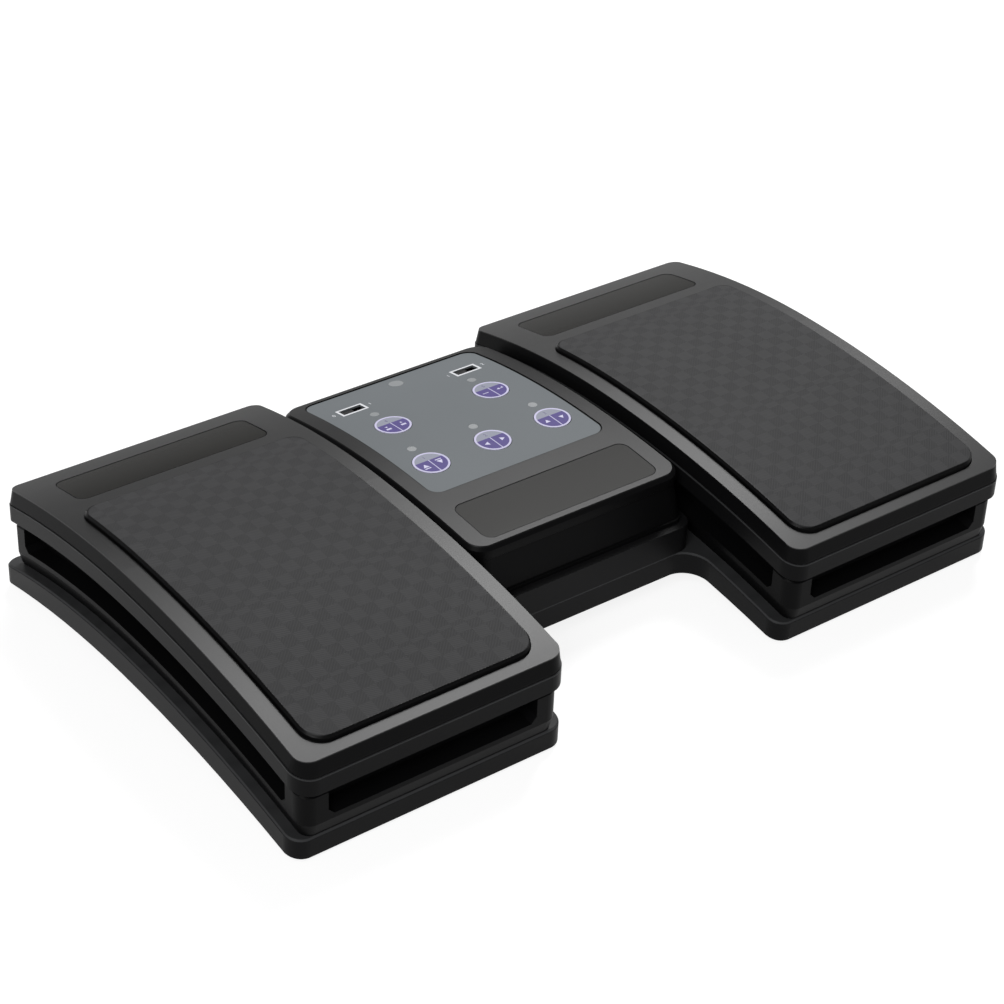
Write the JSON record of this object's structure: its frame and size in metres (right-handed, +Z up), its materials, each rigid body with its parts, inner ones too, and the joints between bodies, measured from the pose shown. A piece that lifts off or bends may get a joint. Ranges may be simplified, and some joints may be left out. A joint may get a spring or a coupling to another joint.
{
  "type": "wireless foot pedal",
  "caption": "Two hinged, spring-returned treads on one arched base, with a raised control module of membrane mode keys and slide switches between them.",
  "frame": {"origin": "middle of the footprint, on the plane that the rubber feet stand on", "axes": "+X across the two treads to the right one, +Y towards the hinges, away from the treads' pressed ends, +Z up"},
  "size_m": [0.28, 0.1722, 0.0485],
  "materials": {
    "satin_black": "satin",
    "tread_rubber": "textured",
    "foot_rubber": "matte",
    "gloss_black": "gloss",
    "panel_film": "satin",
    "key_print": "satin",
    "light_plastic": "gloss",
    "steel": "satin",
    "magnet_plating": "polished",
    "circuit_board": "satin",
    "switch_black": "matte",
    "battery_wrap": "satin"
  },
  "bodies": {
    "base": {"base_tray": "satin_black", "left_wing_housing": "satin_black", "right_wing_housing": "satin_black", "left_hinge_pin": "steel", "right_hinge_pin": "steel", "left_return_spring": "steel", "right_return_spring": "steel", "left_stop_pads": "foot_rubber", "right_stop_pads": "foot_rubber", "left_sensor_board": "circuit_board", "right_sensor_board": "circuit_board", "centre_housing": "satin_black", "centre_cover": "satin_black", "control_panel": "panel_film", "centre_nameplate": "gloss_black", "key_board": "circuit_board", "key_switches": "switch_black", "slide_switches": "switch_black", "main_board": "circuit_board", "battery": "battery_wrap", "charging_socket": "steel", "mode_lights": "light_plastic", "status_light": "light_plastic", "rubber_feet": "foot_rubber", "base_screws": "steel", "board_screws": "steel"},
    "left_pedal": {"left_top_cover": "satin_black", "left_lower_cover": "satin_black", "left_tread_pad": "tread_rubber", "left_nameplate": "gloss_black", "left_magnet": "magnet_plating", "left_plate_screws": "steel"},
    "right_pedal": {"right_top_cover": "satin_black", "right_lower_cover": "satin_black", "right_tread_pad": "tread_rubber", "right_nameplate": "gloss_black", "right_magnet": "magnet_plating", "right_plate_screws": "steel"},
    "left_switch": {"left_switch_knob": "switch_black"},
    "right_switch": {"right_switch_knob": "switch_black"},
    "mode_key_1": {"mode_key_1": "key_print"},
    "mode_key_2": {"mode_key_2": "key_print"},
    "mode_key_3": {"mode_key_3": "key_print"},
    "mode_key_4": {"mode_key_4": "key_print"},
    "mode_key_5": {"mode_key_5": "key_print"}
  },
  "joints": [
    {"name": "left_press", "type": "hinge", "parent": "base", "child": "left_pedal", "pos_m": [-0.0918, 0.0651, 0.02234], "axis": [1, 0, 0], "range_deg": [0, 1.5], "stiffness_Nm_per_rad": 25, "springref_deg": -2.01, "deforming": ["left_return_spring"]},
    {"name": "right_press", "type": "hinge", "parent": "base", "child": "right_pedal", "pos_m": [0.0918, 0.0651, 0.02234], "axis": [1, 0, 0], "range_deg": [0, 1.5], "stiffness_Nm_per_rad": 25, "springref_deg": -2.01, "deforming": ["right_return_spring"]},
    {"name": "left_switch_slide", "type": "slide", "parent": "base", "child": "left_switch", "axis": [1, 0, 0], "range_m": [0, 0.0032]},
    {"name": "right_switch_slide", "type": "slide", "parent": "base", "child": "right_switch", "axis": [1, 0, 0], "range_m": [0, 0.0032]},
    {"name": "mode_key_1_press", "type": "slide", "parent": "base", "child": "mode_key_1", "axis": [0, 0, -1], "range_m": [0, 0.0003], "stiffness_N_per_m": 600, "springref_m": -0.001},
    {"name": "mode_key_2_press", "type": "slide", "parent": "base", "child": "mode_key_2", "axis": [0, 0, -1], "range_m": [0, 0.0003], "stiffness_N_per_m": 600, "springref_m": -0.001},
    {"name": "mode_key_3_press", "type": "slide", "parent": "base", "child": "mode_key_3", "axis": [0, 0, -1], "range_m": [0, 0.0003], "stiffness_N_per_m": 600, "springref_m": -0.001},
    {"name": "mode_key_4_press", "type": "slide", "parent": "base", "child": "mode_key_4", "axis": [0, 0, -1], "range_m": [0, 0.0003], "stiffness_N_per_m": 600, "springref_m": -0.001},
    {"name": "mode_key_5_press", "type": "slide", "parent": "base", "child": "mode_key_5", "axis": [0, 0, -1], "range_m": [0, 0.0003], "stiffness_N_per_m": 600, "springref_m": -0.001}
  ]
}
